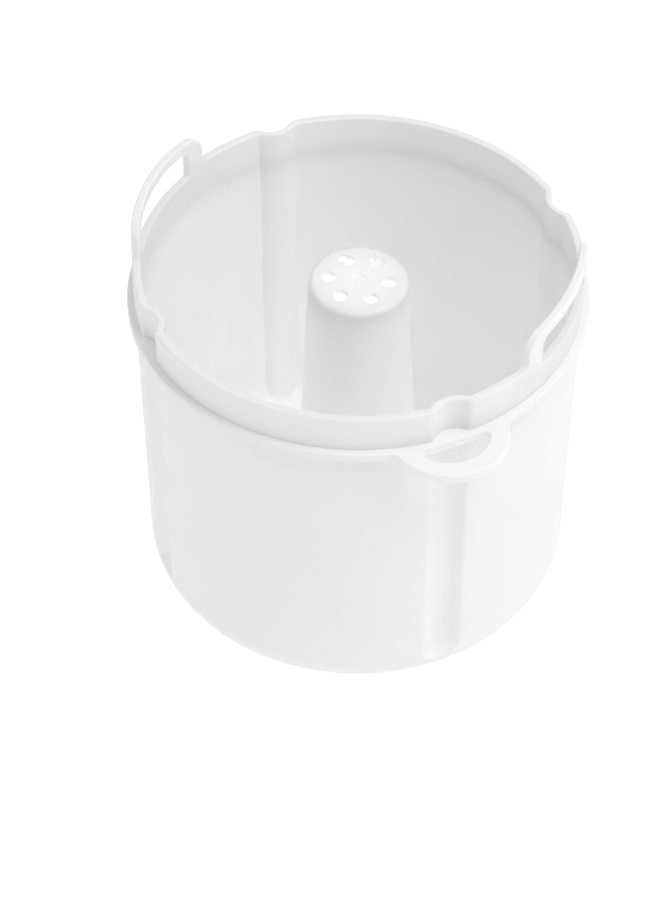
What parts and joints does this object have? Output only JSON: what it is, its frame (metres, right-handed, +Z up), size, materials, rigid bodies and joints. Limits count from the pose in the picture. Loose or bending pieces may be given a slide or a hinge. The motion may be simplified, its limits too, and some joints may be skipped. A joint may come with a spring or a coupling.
{
  "type": "food steamer basket insert",
  "caption": "White moulded drum with a central vented steam chimney, a rest flange with a finger tab, upright flutes and two lifting loops, for cooking rice or pasta in a small steamer.",
  "frame": {"origin": "on the standing surface, in the middle of the base, on the axis of the drum and the chimney", "axes": "+Z up out of the open mouth, +X through the middle of the right-hand lifting loop; the finger tab points half-way between +X and -Y"},
  "size_m": [0.129, 0.129, 0.124],
  "materials": {
    "white_polypropylene": "satin"
  },
  "bodies": {
    "root": {"drum_wall": "white_polypropylene", "bowl_floor": "white_polypropylene", "rim_collar": "white_polypropylene", "rest_flange": "white_polypropylene", "lifting_tab": "white_polypropylene", "handle_left": "white_polypropylene", "handle_right": "white_polypropylene", "steam_chimney": "white_polypropylene", "chimney_cap": "white_polypropylene"}
  },
  "joints": []
}
